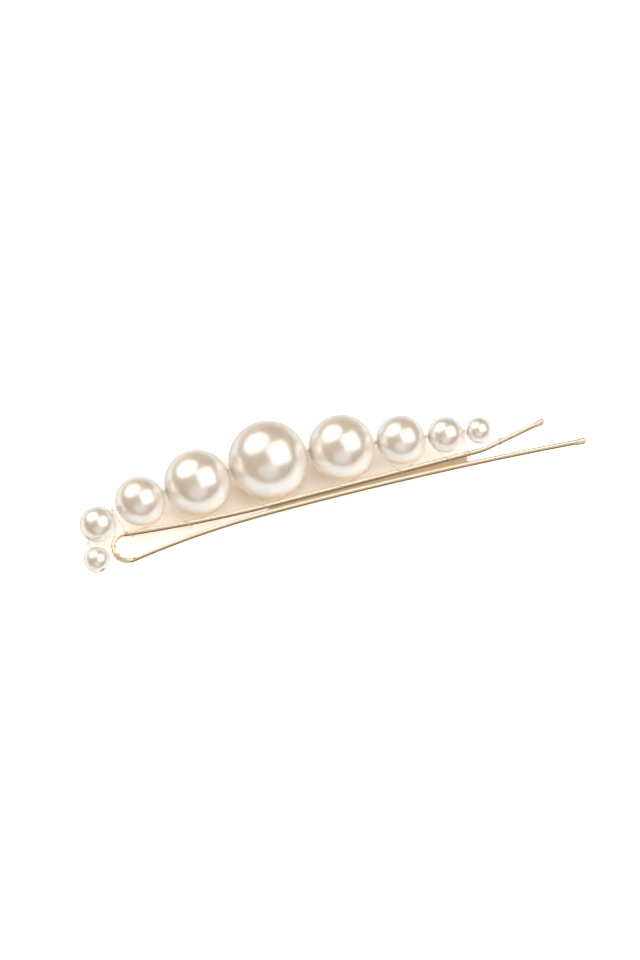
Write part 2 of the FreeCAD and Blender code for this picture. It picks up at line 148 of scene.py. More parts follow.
# The side of a pearl where a glow is painted on the rim, for light that comes out again through
# the milky bead, and the side that hangs over the gold strip, where its reflection is painted.
AWAY_FROM_LIGHTS = (0.75, -0.6, -0.25)
TOWARDS_STRIP = (-0.224, -0.915, -0.336)

# The floor: how far its gaps look for cover, and the glow painted on it in the open, in tight gaps and in
# mirrors.
GAP_REACH = 9.0
OPEN_GLOW = 0.45
TIGHT_GLOW = 0.18
COOL_GLOW = 0.15
COOL_TINT = (0.3, 0.65, 1, 1)
WHITE = (1, 1, 1, 1)

# The floor as mirrored by the pearls: painted tan from NEAR_FLOOR on, measured along +Y.
NEAR_FLOOR = 26.0
FLOOR_FADE = 12.0

# The floor as mirrored by the strip: painted brown shade to a distance of SHADE_FAR, inside of the
# pearls or past the last one.
SHADE_FAR = 6.8
SHADE_FADE = 0.15
PEARLS_FROM_Y = 2.5
PEARLS_TO_X = 59.0

# The painted brown shade on the floor, seen through the slit between the arms, which starts at one of the
# wraps.
SLIT_FIRST_WRAP = 2
SLIT_FADE = 0.4
CLOSED_SLACK = 1.0

# The stage.
CAMERA_ELEVATION = 70.0
CAMERA_AZIMUTH = 25.0
CAMERA_ROLL = 10.6
CAMERA_DISTANCE = 700.0
FRAME_HEIGHT = 146.1
AIM_RIGHT = 7.95
AIM_DOWN = 3.09
SENSOR = 36.0
CLIP_START = 10.0
FLOOR_SIZE = 1000.0
FLOOR_THICKNESS = 20.0
FLOOR_GAP = 0.02

# The warm room that the pearls mirror between the soft boxes; the camera itself sees white.
ROOM_TINT = (0.275, 0.185, 0.075, 1)


# ------------------------------------------------------------------------- shared geometry

def heading_vector(angle):
    """Unit vector in the XY plane at an angle in degrees from +X."""
    return Vector((math.cos(math.radians(angle)), math.sin(math.radians(angle)), 0))


def walk(point, heading, chain, step):
    """Pairs of point and heading, at even steps along a chain of tangent pieces."""
    stations = [(point.copy(), heading)]
    for value, turn in chain:
        length = value * math.radians(abs(turn)) if turn else value
        count = max(2, math.ceil(length / step))
        side = math.copysign(1, turn)
        centre = point + heading_vector(heading + 90) * (side * value)
        for index in range(1, count + 1):
            share = index / count
            if turn:
                here = centre - heading_vector(heading + turn * share + 90) * (side * value)
            else:
                here = point + heading_vector(heading) * (value * share)
            stations.append((here, heading + turn * share))
        point, heading = stations[-1]
    return stations


def upper_stations():
    start = heading_vector(90 - UPPER_LEAD) * LOOP_RADIUS
    return walk(start, -UPPER_LEAD, UPPER_CHAIN, STATION_STEP)


def lower_stations():
    start = heading_vector(LOWER_LEAD - 90) * LOOP_RADIUS
    return walk(start, LOWER_LEAD, LOWER_CHAIN, STATION_STEP)


def at_station(stations, x):
    """Point and heading of a sampled centre line at this X."""
    for (before, heading), (after, next_heading) in zip(stations, stations[1:]):
        if after.x >= x:
            share = (x - before.x) / (after.x - before.x)
            return before.lerp(after, share), heading + (next_heading - heading) * share
    return stations[-1]


def rounded_box(half_across, half_height, rounding):
    """Outline of a box with round corners, as (across, height) offsets, anticlockwise."""
    outline = []
    for corner, (side_a, side_h) in enumerate(((1, -1), (1, 1), (-1, 1), (-1, -1))):
        for step in range(CORNER_STEPS + 1):
            angle = math.radians(90 * (corner - 1 + step / CORNER_STEPS))
            outline.append((side_a * (half_across - rounding) + rounding * math.cos(angle),
                            side_h * (half_height - rounding) + rounding * math.sin(angle)))
    return outline


def skin(name, rings, closed=False):
    """A mesh object over rings of points in mm, capped unless the rings close on themselves.

    Its UV map is in millimetres: U runs along the rings, V round them.
    """
    work = bmesh.new()
    layer = work.loops.layers.uv.new("mm")
    grid = [[work.verts.new(point * MM) for point in ring] for ring in rings]
    around = len(rings[0])
    middles = [sum(ring, Vector()) / around for ring in rings]
    along = [0.0]
    for before, after in zip(middles, middles[1:]):
        along.append(along[-1] + (after - before).length)
    girth = [0.0]
    for index in range(around):
        girth.append(girth[-1] + (rings[0][(index + 1) % around] - rings[0][index]).length)
    rows = len(rings) if closed else len(rings) - 1
    for row in range(rows):
        upper = (row + 1) % len(rings)
        for index in range(around):
            beside = (index + 1) % around
            face = work.faces.new((grid[row][index], grid[row][beside],
                                   grid[upper][beside], grid[upper][index]))
            corners = ((row, index), (row, index + 1), (row + 1, index + 1), (row + 1, index))
            for loop, (u, v) in zip(face.loops, corners):
                loop[layer].uv = (along[min(u, len(along) - 1)], girth[v])
    if not closed:
        work.faces.new(list(reversed(grid[0])))
        work.faces.new(grid[-1])
    bmesh.ops.recalc_face_normals(work, faces=work.faces)
    for face in work.faces:
        face.smooth = len(face.verts) == 4
    mesh = bpy.data.meshes.new(name)
    work.to_mesh(mesh)
    work.free()
    piece = bpy.data.objects.new(name, mesh)
    bpy.context.scene.collection.objects.link(piece)
    return piece


def place_section(outline, point, heading):
    """The outline set square across the strip at a point of its centre line."""
    left = heading_vector(heading + 90)
    return [point + left * across + UP * height for across, height in outline]


# ---------------------------------------------------------------------------- strip and tips

def make_strip(name, stations):
    outline = rounded_box(THICKNESS / 2, WIDTH / 2, EDGE_ROUNDING)
    return skin(name, [place_section(outline, point, heading) for point, heading in stations])


def make_loop():
    top = 90 - UPPER_LEAD
    bottom = 270 + LOWER_LEAD
    chain = ((LOOP_RADIUS, bottom - top),)
    return make_strip("pin_loop", walk(heading_vector(top) * LOOP_RADIUS, top + 90, chain, LOOP_STEP))


def make_tip(name, stations):
    """A dipped bead: a hollow cup over the end of the arm, with a rounded lip and a domed end."""
    end, heading = stations[-1]
    ahead = heading_vector(heading)
    half_t, half_w = THICKNESS / 2, WIDTH / 2
    rings = []

    def ring(along, grow, rounding):
        outline = rounded_box(half_t + grow, half_w + grow, rounding)
        rings.append(place_section(outline, end + ahead * along, heading))

    ring(TIP_OVERRUN, TIP_CLEARANCE, EDGE_ROUNDING)
    ring(-TIP_GRIP, TIP_CLEARANCE, EDGE_ROUNDING)
    for step in range(LIP_STEPS + 1):
        share = step / LIP_STEPS
        angle = math.radians(90 * share)
        grow = TIP_CLEARANCE + (TIP_WALL - TIP_CLEARANCE) * math.sin(angle)
        ring(-TIP_GRIP + TIP_LIP * (1 - math.cos(angle)), grow, EDGE_ROUNDING + TIP_WALL * share / 2)
    front = TIP_LENGTH - TIP_GRIP
    for step in range(DOME_STEPS + 1):
        angle = math.radians(90 * step / DOME_STEPS)
        grow = TIP_WALL - TIP_DOME * (1 - math.cos(angle))
        rounding = min(EDGE_ROUNDING + TIP_WALL / 2, half_t + grow - LEAST_FLAT)
        ring(front - TIP_DOME + TIP_DOME * math.sin(angle), grow, rounding)
    return skin(name, rings)


# ------------------------------------------------------------------------------------ pearls

def pearl_layout():
    """Centre, bore direction and radius of each pearl in mm, read from the frame."""
    joints = {joint["name"]: joint for joint in frame["joints"]}
    layout = []
    for number in range(1, PEARLS + 1):
        joint = joints["pearl_%d_spin" % number]
        low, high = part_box("pearl_%d" % number)
        centre, direction = Vector(joint["pos_m"]) / MM, Vector(joint["axis"]).normalized()
        layout.append((centre, direction, (high.z - low.z) / MM / 2))
    return layout


def pearl_profile(radius):
    """Closed outline turned about the bore: (along, out) from one mouth over the ball and back."""
    bore = BORE_DIA / 2
    rounding = BORE_ROUNDING
    out = bore + rounding
    along = math.sqrt((radius - rounding) ** 2 - out ** 2)
    lean = math.atan2(out, along)
    profile = []
    for step in range(BALL_STEPS + 1):
        angle = lean + (math.pi - 2 * lean) * step / BALL_STEPS
        profile.append((radius * math.cos(angle), radius * math.sin(angle)))
    for step in range(1, MOUTH_STEPS + 1):
        angle = math.pi - lean + (lean + math.pi / 2) * step / MOUTH_STEPS
        profile.append((-along + rounding * math.cos(angle), out + rounding * math.sin(angle)))
    for step in range(1, WALL_STEPS):
        profile.append((-along + 2 * along * step / WALL_STEPS, bore))
    for step in range(MOUTH_STEPS):
        angle = -math.pi / 2 + (lean + math.pi / 2) * step / MOUTH_STEPS
        profile.append((along + rounding * math.cos(angle), out + rounding * math.sin(angle)))
    return profile


def make_pearl(number, centre, direction, radius):
    """A ball turned about its bore, with the faint unevenness of its dipped coat."""
    facing = Vector((1, 0, 0)).rotation_difference(direction)
    rings = []
    for along, out in pearl_profile(radius):
        ring = []
        for index in range(PEARL_SEGMENTS):
            angle = 2 * math.pi * index / PEARL_SEGMENTS
            offset = facing @ Vector((along, out * math.cos(angle), out * math.sin(angle)))
            patch = noise.noise(offset / COAT_PATCH + Vector((number, 0, 0)))
            ring.append(centre + offset * (1 - COAT_UNEVENNESS * (1 + patch) / 2))
        rings.append(ring)
    return skin("pearl_bead_%d" % number, rings, closed=True)


# ----------------------------------------------------------------------------------- threads

def loop_at(angle):
    return heading_vector(angle) * LOOP_RADIUS, angle - 90


def round_strip(place, thread_dia, first, last, advance):
    """Points of a thread wound round the strip: 0 is the pearl side, 90 the front edge."""
    point, heading = place
    reach = THICKNESS / 2 + thread_dia / 2 + THREAD_CLEARANCE
    edge_centre = (WIDTH - THICKNESS) / 2
    outward, along = heading_vector(heading + 90), heading_vector(heading)
    steps = math.ceil((last - first) / WINDING_STEP)
    points = []
    for step in range(steps + 1):
        angle = math.radians(first + (last - first) * step / steps)
        across = math.sin(angle)
        height = reach * across + edge_centre * max(-1, min(1, EDGE_SHARPNESS * across))
        shift = advance * (step / steps - 0.5)
        points.append(point + outward * (reach * math.cos(angle)) + along * shift + UP * height)
    return points


def round_pearl(start, end, centre, reach):
    """Points of a taut thread between two points, pressed round a ball where it is in the way."""
    to_start, to_end = start - centre, end - centre
    free_start = math.acos(min(1, reach / to_start.length))
    free_end = math.acos(min(1, reach / to_end.length))
    opening = to_start.angle(to_end)
    if opening <= free_start + free_end:
        return [start.lerp(end, step / LEG_STEPS) for step in range(1, LEG_STEPS)]
    axis = to_start.cross(to_end)
    points = []
    for step in range(LEG_STEPS + 1):
        turned = free_start + (opening - free_start - free_end) * step / LEG_STEPS
        spoke = Quaternion(axis, turned) @ to_start
        points.append(centre + spoke.normalized() * reach)
    return points


def string_mouths(pearl):
    """The two places where the string's centre line enters and leaves a pearl."""
    centre, direction, radius = pearl
    half_length = math.sqrt(radius ** 2 - (BORE_DIA / 2) ** 2)
    return centre - direction * half_length, centre + direction * half_length


def necks(layout):
    """The middle of the string between each pearl and the next, and its heading there."""
    found = []
    for this, following in zip(layout, layout[1:]):
        leave = string_mouths(this)[1]
        enter = string_mouths(following)[0]
        bulge = (this[1] - following[1]) * ((leave - enter).length * NECK_BULGE)
        span = enter - leave
        found.append(((leave + enter) / 2 + bulge, math.degrees(math.atan2(span.y, span.x))))
    return found


def over_string(neck, heading):
    """Points of the binding where it lies over the string, from the back to the front."""
    reach = (STRING_DIA + BINDING_DIA) / 2 + THREAD_CLEARANCE
    outward = heading_vector(heading + 90)
    angles = [math.radians(-90 + 180 * step / NECK_STEPS) for step in range(NECK_STEPS + 1)]
    return [neck + outward * (reach * math.cos(a)) + UP * (reach * math.sin(a)) for a in angles]


def binding_points(layout, arm):
    """The whip: over the string at a neck, down round the next pearl, once round the strip,
    and up behind the same pearl to the neck after it.
    """
    crossings = [loop_at(LOOP_WRAP_ANGLE)] + [at_station(arm, x) for x in WRAP_STATIONS]
    advances = [LOOP_ADVANCE] + [BINDING_ADVANCE] * (len(WRAP_STATIONS) - 1) + [TIE_ADVANCE * 2]
    reaches = [radius + PEARL_STANDOFF * BINDING_DIA for _, _, radius in layout]
    points = []
    for index, (neck, neck_heading) in enumerate(necks(layout)):
        over = over_string(neck, neck_heading)
        if points:
            points += round_pearl(points[-1], over[0], layout[index][0], reaches[index])
        last_angle = BACK_END + (FULL_TURN if index == len(layout) - 2 else 0)
        wound = round_strip(crossings[index], BINDING_DIA, FRONT_START, last_angle, advances[index])
        points += over + round_pearl(over[-1], wound[0], layout[index + 1][0], reaches[index + 1]) + wound
    return points


def tail(mouth, outwards, tie):
    """Points of the string's end as it comes out of a mouth and bends over towards its tie."""
    to_tie = tie - mouth
    side = (to_tie - outwards * to_tie.dot(outwards)).normalized()
    turns = [math.radians(90 * step / TAIL_STEPS) for step in range(TAIL_STEPS + 1)]
    start = mouth + outwards * STRING_DIA
    return [start + (outwards * math.sin(turn) + side * (1 - math.cos(turn))) * TAIL_BEND for turn in turns]


def string_points(layout, arm):
    """The string: a tie on the loop, straight through every bore, and a tie on the flare."""
    start, end = loop_at(STRING_START_ANGLE), at_station(arm, STRING_END_STATION)
    start_wrap = round_strip(start, STRING_DIA, TIE_START, TIE_END, -TIE_ADVANCE)
    end_wrap = round_strip(end, STRING_DIA, TIE_START, TIE_END, TIE_ADVANCE)
    first_mouth = string_mouths(layout[0])[0]
    last_mouth = string_mouths(layout[-1])[1]
    points = list(reversed(start_wrap)) + list(reversed(tail(first_mouth, -layout[0][1], start_wrap[0])))
    for pearl in layout:
        enter, leave = string_mouths(pearl)
        points += [enter.lerp(leave, step / BORE_STEPS) for step in range(BORE_STEPS + 1)]
    return points + tail(last_mouth, layout[-1][1], end_wrap[0]) + end_wrap


def eased(points):
    """A quadratic B-spline: it starts and ends at the end points and touches each span's middle."""
    path = [points[0]]
    for before, corner, after in zip(points, points[1:], points[2:]):
        start, end = (before + corner) / 2, (corner + after) / 2
        for step in range(EASING_STEPS):
            share = step / EASING_STEPS
            path.append(start.lerp(corner, share).lerp(corner.lerp(end, share), share))
    return path + [points[-1]]


def make_thread(name, points, diameter):
    """A round thread along the points, with its ends rounded over."""
    path = eased(points)
    headings = [(after - before).normalized() for before, after in zip(path, path[1:])]
    headings.append(headings[-1])
    side = headings[0].orthogonal().normalized()
    rings = []
    radius = diameter / 2
    angles = [2 * math.pi * index / THREAD_SIDES for index in range(THREAD_SIDES)]
    for index, (point, heading) in enumerate(zip(path, headings)):
        side = (side - heading * side.dot(heading)).normalized()
        other = heading.cross(side)

        def ring(centre, reach):
            rings.append([centre + (side * math.cos(a) + other * math.sin(a)) * reach for a in angles])

        if index == 0:
            for back, share in THREAD_CAP:
                ring(point + heading * (back * radius), radius * share)
        ring(point, radius)
        if index == len(path) - 1:
            for back, share in reversed(THREAD_CAP):
                ring(point - heading * (back * radius), radius * share)
    return skin(name, rings)


# --------------------------------------------------------------------------------- materials

class Shader:
    """A node material with one Principled surface."""

    def __init__(self, name):
        self.material = bpy.data.materials.new(name)
        self.material.use_nodes = True
        self.tree = self.material.node_tree
        self.surface = self.tree.nodes["Principled BSDF"]

    def node(self, kind, inputs, **settings):
        """Adds a node, with its settings, and its inputs given as values or as other outputs."""
        made = self.tree.nodes.new(kind)
        for key, value in settings.items():
            setattr(made, key, value)
        self.feed(made, inputs)
        return made

    def feed(self, target, inputs):
        for key, value in inputs.items():
            if isinstance(value, bpy.types.NodeSocket):
                self.tree.links.new(value, target.inputs[key])
            else:
                target.inputs[key].default_value = value

    def noise(self, coordinates, scale, detail=3.0, roughness=0.5):
        made = self.node("ShaderNodeTexNoise", {"Vector": coordinates, "Scale": scale, "Detail": detail,
                                                "Roughness": roughness})
        return made.outputs["Fac"]

    def span(self, value, low, high, from_low=0.0, from_high=1.0):
        """Maps a value from one span to another."""
        made = self.node("ShaderNodeMapRange", {"Value": value, "From Min": from_low, "From Max": from_high,
                                                "To Min": low, "To Max": high})
        return made.outputs["Result"]

    def math(self, operation, first, second=0.0):
        return self.node("ShaderNodeMath", {0: first, 1: second}, operation=operation).outputs[0]

    def vector_math(self, operation, first, second):
        """The outputs of a vector operation: its vector first, its value second."""
        return self.node("ShaderNodeVectorMath", {0: first, 1: second}, operation=operation).outputs

    def mix(self, share, first, second):
        """Mixes two colours; a Mix node keeps its colour sockets at inputs 6 and 7, output 2."""
        made = self.node("ShaderNodeMix", {}, data_type="RGBA")
        self.feed(made, {0: share, 6: first, 7: second})
        return made.outputs[2]

    def bump(self, height, distance, strength=1.0, normal=None):
        inputs = {"Height": height, "Distance": distance, "Strength": strength}
        if normal is not None:
            inputs["Normal"] = normal
        return self.node("ShaderNodeBump", inputs).outputs["Normal"]


def colour(red, green, blue):
    """Linear colour with alpha from 0-255 display values."""
    def linear(value):
        share = value / 255
        return share / 12.92 if share <= 0.04045 else ((share + 0.055) / 1.055) ** 2.4
    return (linear(red), linear(green), linear(blue), 1.0)


def gold_strip():
    """Champagne gold plate over flattened wire, with drawing lines: its edges facing up and down keep the
    gold, its flat sides are painted darker as shade.
    """
    shader = Shader("champagne_gold")
    coordinates = shader.node("ShaderNodeTexCoord", {}).outputs["UV"]
    stretched = shader.node("ShaderNodeMapping", {"Vector": coordinates, "Scale": (0.12, 5.0, 1.0)})
    lines = shader.noise(stretched.outputs["Vector"], 1.0, 2.0)
    patches = shader.noise(coordinates, 1.3, 2.0)
    is_pale = shader.span(patches, 0, 1, *NOISE_SPAN)
    edge_gold = shader.mix(is_pale, colour(249, 227, 196), colour(254, 239, 218))
    # Painted shade: a darker gold for the flat sides, with the drawing lines running through it.
    drawn_flats_in_painted_shade = shader.mix(lines, colour(186, 155, 125), colour(212, 183, 151))
    facing = shader.node("ShaderNodeTexCoord", {}).outputs["Normal"]
    upright = shader.node("ShaderNodeSeparateXYZ", {"Vector": facing}).outputs["Z"]
    edge = shader.math("ABSOLUTE", upright)
    # The flats, whose normals lie level, take the painted shade; the edges facing up or down keep the gold.
    tone = shader.mix(shader.span(edge, 0, 1, 0.2, 0.65), drawn_flats_in_painted_shade, edge_gold)
    normal = shader.bump(lines, 0.000003, 0.3)
    shader.feed(shader.surface, {
        "Base Color": tone, "Metallic": 1.0, "Normal": normal,
        "Roughness": shader.span(lines, 0.24, 0.32, *NOISE_SPAN),
    })
    return shader.material


def clear_thread():
    """Clear nylon line, mostly seen through: a pale core, with a darker colour painted towards its edges as
    the shade a clear line shows at its sides.
    """
    shader = Shader("clear_nylon_line")
    coordinates = shader.node("ShaderNodeTexCoord", {}).outputs["UV"]
    stretched = shader.node("ShaderNodeMapping", {"Vector": coordinates, "Scale": (0.3, 5.0, 1.0)})
    lines = shader.noise(stretched.outputs["Vector"], 1.0, 3.0)
    edge = shader.node("ShaderNodeLayerWeight", {"Blend": 0.5}).outputs["Facing"]
    shader.feed(shader.surface, {
        # Painted shade: the colour darkens towards the edges as the surface turns away from view.
        "Base Color": shader.mix(edge, colour(242, 230, 212), colour(206, 184, 158)),
        "Roughness": shader.span(lines, 0.2, 0.35, *NOISE_SPAN),
        "Normal": shader.bump(lines, 0.000003, 0.3),
        "Alpha": shader.span(edge, 0.18, 0.42),
    })
    return shader.material


def tip_resin():
    """Thin lacquer bead: the metal's colour, a little cloudy, under a clear gloss coat."""
    shader = Shader("gilt_tip_lacquer")
    coordinates = shader.node("ShaderNodeTexCoord", {}).outputs["Object"]
    cloud = shader.noise(coordinates, 1800.0, 2.0)
    is_pale = shader.span(cloud, 0, 1, *NOISE_SPAN)
    tone = shader.mix(is_pale, colour(226, 201, 169), colour(240, 220, 192))
    shader.feed(shader.surface, {
        "Base Color": tone, "Metallic": 0.8, "Roughness": 0.3, "Coat Weight": 1.0, "Coat Roughness": 0.06,
        "Normal": shader.bump(cloud, 0.00002, 0.4),
    })
    return shader.material


def pearl_coat():
    """Pearl lacquer over a milky bead: part mirror and part scatter.

    Painted on it: a darker rim, a warm underside, a glow on the rim away from the lights, and a gold
    reflection and glow where it hangs over the strip.
    """
    shader = Shader("cream_pearl")
    coordinates = shader.node("ShaderNodeTexCoord", {}).outputs["Object"]
    haze = shader.noise(coordinates, 420.0, 3.0)
    ripple = shader.noise(coordinates, 900.0, 2.0)
    edge = shader.node("ShaderNodeLayerWeight", {"Blend": 0.5}).outputs["Facing"]
    body = shader.mix(shader.span(haze, 0, 1, 0.35, 0.65), colour(240, 236, 231), colour(248, 245, 242))
    # Painted shade: the colour darkens towards the rim.
    rimmed = shader.mix(shader.span(edge, 0, 1, 0.45, 0.85), body, colour(200, 194, 180))
    # Painted light: a warm tone on the downward-facing side, for light thrown up from the gold and the
    # floor below.
    facing = shader.node("ShaderNodeNewGeometry", {}).outputs["Normal"]
    height = shader.node("ShaderNodeSeparateXYZ", {"Vector": facing}).outputs["Z"]
    tone = shader.mix(shader.span(height, 0, 0.6, 0.3, -0.15), rimmed, colour(252, 238, 218))
    # Painted reflection: the side over the gold strip takes a gold-brown tone near the rim, and glows
    # orange.
    over_strip = shader.vector_math("DOT_PRODUCT", facing, TOWARDS_STRIP)["Value"]
    strip_reflection_mask = shader.math("MULTIPLY", shader.span(over_strip, 0, 1, 0.6, 0.97),
                         shader.span(edge, 0, 1, 0.5, 0.74))
    tone = shader.mix(strip_reflection_mask, tone, colour(200, 164, 116))
    # Painted light: the rim away from the lights glows, as if lit from within.
    away = shader.vector_math("DOT_PRODUCT", facing, AWAY_FROM_LIGHTS)["Value"]
    painted_through_glow = shader.math("MULTIPLY", shader.span(away, 0, 0.21, 0.1, 0.75),
                         shader.span(edge, 0, 1, 0.25, 0.6))
    # Painted light: a glow on the side over the strip, for light bounced off the gold.
    bounced = shader.math("MULTIPLY", shader.span(over_strip, 0, 0.12, 0.35, 0.6),
                          shader.span(edge, 0, 1, 0.5, 0.65))
    shader.feed(shader.surface, {
        "Emission Color": shader.mix(strip_reflection_mask, colour(255, 249, 236), colour(255, 196, 122)),
        "Emission Strength": shader.math("ADD", painted_through_glow, bounced),
        "Base Color": tone, "Metallic": shader.span(edge, 0.6, 0.2, 0.4, 0.85),
        "Normal": shader.bump(ripple, 0.000004, 0.3),
        "Roughness": shader.span(haze, 0.27, 0.32), "Subsurface Weight": 0.8,
        "Subsurface Radius": (1.0, 0.8, 0.6), "Subsurface Scale": 0.003,
        "Coat Weight": 0.25, "Coat Roughness": 0.15,
    })
    return shader.material


def floor_paper(lower_arm):
    """White paper: painted glow in the open, painted warm shade in the gaps beside the pearls, brown shade
    in the slit.

    In mirror images it is painted: brown shade where the strip, which hangs close above it, mirrors it;
    else white with a cool glow, or tan where it lies far behind the pin.
    """
    shader = Shader("white_paper")
    coordinates = shader.node("ShaderNodeTexCoord", {}).outputs["Object"]
    fibre = shader.noise(coordinates, 900.0, 4.0)
    path = shader.node("ShaderNodeLightPath", {})
    by_strip = mirrored_by_strip(shader, path)
    position = shader.node("ShaderNodeNewGeometry", {}).outputs["Position"]
    behind = shader.node("ShaderNodeSeparateXYZ", {"Vector": position}).outputs["Y"]
    # Painted reflection: the floor in mirror images is a cool white near the pin and tan far behind it.
    is_far = shader.span(behind, 0, 1, NEAR_FLOOR * MM, (NEAR_FLOOR + FLOOR_FADE) * MM)
    far_tint = shader.mix(is_far, colour(242, 250, 255), colour(160, 145, 122))
    # Painted shade in mirror images: what the strip mirrors of the floor close by is brown.
    mirrored = shader.mix(by_strip, far_tint, colour(98, 82, 70))
    cover = shader.node("ShaderNodeAmbientOcclusion", {"Distance": GAP_REACH * MM}, samples=8)
    openness = cover.outputs["AO"]
    is_open = shader.span(openness, 0, 1, 0.3, 0.62)
    in_slit = seen_through_slit(shader, lower_arm)
    # Painted shade: the paper turns warm tan where the pearls and arms close over it.
    paper = shader.mix(is_open, colour(236, 214, 184), colour(248, 248, 248))
    # Painted shade: brown where the floor is seen through the slit between the arms.
    seen = shader.mix(in_slit, paper, colour(214, 186, 155))
    is_mirrored = path.outputs["Is Glossy Ray"]
    is_watched = shader.math("MULTIPLY", path.outputs["Is Camera Ray"], shader.span(in_slit, 1, 0))
    # Painted light: a glow for the camera in the open, which bleaches the soft shadows there.
    open_glow = shader.math("MULTIPLY", shader.math("MULTIPLY", is_open, is_watched), OPEN_GLOW)
    # Painted light: a cool glow on the floor in mirror images, where it is neither the strip's brown nor
    # the far tan.
    lit = shader.math("MULTIPLY", shader.math("SUBTRACT", is_mirrored, by_strip), shader.span(is_far, 1, 0))
    cool_glow = shader.math("MULTIPLY", lit, COOL_GLOW)
    # Painted light: a glow for the camera in the tightest gaps, which lightens their shade.
    tight = shader.span(openness, TIGHT_GLOW, 0, 0.08, 0.28)
    tight_glow = shader.math("MULTIPLY", tight, is_watched)
    glow = shader.math("ADD", shader.math("MAXIMUM", open_glow, cool_glow), tight_glow)
    shader.feed(shader.surface, {
        "Base Color": shader.mix(is_mirrored, seen, mirrored), "Roughness": 0.7,
        "Normal": shader.bump(fibre, 0.00001, 0.3), "Specular IOR Level": 0.2,
        "Emission Color": shader.mix(is_mirrored, WHITE, COOL_TINT),
        "Emission Strength": glow,
    })
    return shader.material


def back_along_ray(shader, distance):
    """The point at this distance back along the ray that meets the surface."""
    geometry = shader.node("ShaderNodeNewGeometry", {}).outputs
    inputs = {0: geometry["Incoming"], "Scale": distance}
    step = shader.node("ShaderNodeVectorMath", inputs, operation="SCALE").outputs[0]
    point = shader.vector_math("ADD", geometry["Position"], step)[0]
    return shader.node("ShaderNodeSeparateXYZ", {"Vector": point}).outputs


def seen_through_slit(shader, lower_arm):
    """1 where the sight line to the floor passes the narrow part of the gap between the arms.

    It masks the painted brown slit shade and fades to 0 as the lower arm opens, for then there is no slit.
    """
    geometry = shader.node("ShaderNodeNewGeometry", {}).outputs
    carried = shader.node("ShaderNodeTexCoord", {}, object=lower_arm).outputs["Object"]
    moved = shader.vector_math("DISTANCE", carried, geometry["Position"])["Value"]
    is_closed = shader.span(moved, 1, 0, 0, CLOSED_SLACK * MM)
    steepness = shader.node("ShaderNodeSeparateXYZ", {"Vector": geometry["Incoming"]}).outputs["Z"]
    where = back_along_ray(shader, shader.math("DIVIDE", -cad_box[0].z, steepness))
    first, last = WRAP_STATIONS[SLIT_FIRST_WRAP], WRAP_STATIONS[-1]
    edges = []
    for stations in (upper_stations(), lower_stations()):
        start, end = [at_station(stations, x)[0] * MM for x in (first, last)]
        edges.append(shader.span(where["X"], start.y, end.y, start.x, end.x))
    upper_edge, lower_edge = edges
    across = shader.math("MINIMUM", shader.math("SUBTRACT", upper_edge, where["Y"]),
                         shader.math("SUBTRACT", where["Y"], lower_edge))
    along = shader.math("MINIMUM", shader.math("SUBTRACT", where["X"], first * MM),
                        shader.math("SUBTRACT", last * MM, where["X"]))
    inset = shader.math("MINIMUM", across, along)
    return shader.math("MULTIPLY", is_closed, shader.span(inset, 0, 1, 0, SLIT_FADE * MM))


def mirrored_by_strip(shader, path):
    """Mask of the painted brown shade: 1 where a mirrored ray is short and left the strip, inside of the
    pearls or past the last one.
    """
    length = path.outputs["Ray Length"]
    source = back_along_ray(shader, length)
    inside = shader.math("MULTIPLY", shader.math("LESS_THAN", source["Y"], PEARLS_FROM_Y * MM),
                         shader.math("GREATER_THAN", source["X"], 0.0))
    past = shader.math("GREATER_THAN", source["X"], PEARLS_TO_X * MM)
    is_short = shader.span(length, 1, 0, SHADE_FAR * MM, (SHADE_FAR + SHADE_FADE) * MM)
    return shader.math("MULTIPLY", is_short, shader.math("MAXIMUM", inside, past))


# ------------------------------------------------------------------------------------- stage

def camera_axes():
    """The camera's right, up and back directions."""
    level, lift = math.radians(CAMERA_AZIMUTH), math.radians(CAMERA_ELEVATION)
    back = Vector((-math.sin(level) * math.cos(lift), -math.cos(level) * math.cos(lift), math.sin(lift)))
    right = Vector((math.cos(level), -math.sin(level), 0))
    roll = Quaternion(back, math.radians(CAMERA_ROLL))
    right = roll @ right
    return right, back.cross(right), back


def add_camera(main_pearl):
    right, up, back = camera_axes()
    aim = main_pearl + right * AIM_RIGHT - up * AIM_DOWN
    lens = bpy.data.cameras.new("photo_camera")
    lens.sensor_fit = "VERTICAL"
    lens.sensor_height = SENSOR
    lens.lens = SENSOR * CAMERA_DISTANCE / FRAME_HEIGHT
    lens.clip_start = CLIP_START * MM
    camera = bpy.data.objects.new("photo_camera", lens)
    bpy.context.scene.collection.objects.link(camera)
    turned = Matrix((right, up, back)).transposed().to_4x4()
    camera.matrix_world = Matrix.Translation((aim + back * CAMERA_DISTANCE) * MM) @ turned
    bpy.context.scene.camera = camera


def add_panel(name, aim, offset, distance, size, radiance, tint=(1, 1, 1), turn=0.0, shape="ELLIPSE"):
    """A soft panel set where a pearl mirrors it at an offset (right, up) from its middle, in radii."""
    right, up, back = camera_axes()
    reach = math.hypot(*offset)
    tilt = 2 * math.asin(reach)
    sideways = (right * offset[0] + up * offset[1]) / reach
    away = back * math.cos(tilt) + sideways * math.sin(tilt)
    light = bpy.data.lights.new(name, "AREA")
    light.shape = shape
    light.size, light.size_y = size[0] * MM, size[1] * MM
    light.color = tint
    area = light.size * light.size_y * (math.pi / 4 if shape == "ELLIPSE" else 1)
    light.energy = radiance * math.pi * area
    panel = bpy.data.objects.new(name, light)
    bpy.context.scene.collection.objects.link(panel)
    across = (right - away * right.dot(away)).normalized()
    across = Quaternion(away, math.radians(turn)) @ across
    turned = Matrix((across, away.cross(across), away)).transposed().to_4x4()
    panel.matrix_world = Matrix.Translation((aim + away * distance) * MM) @ turned
    return panel


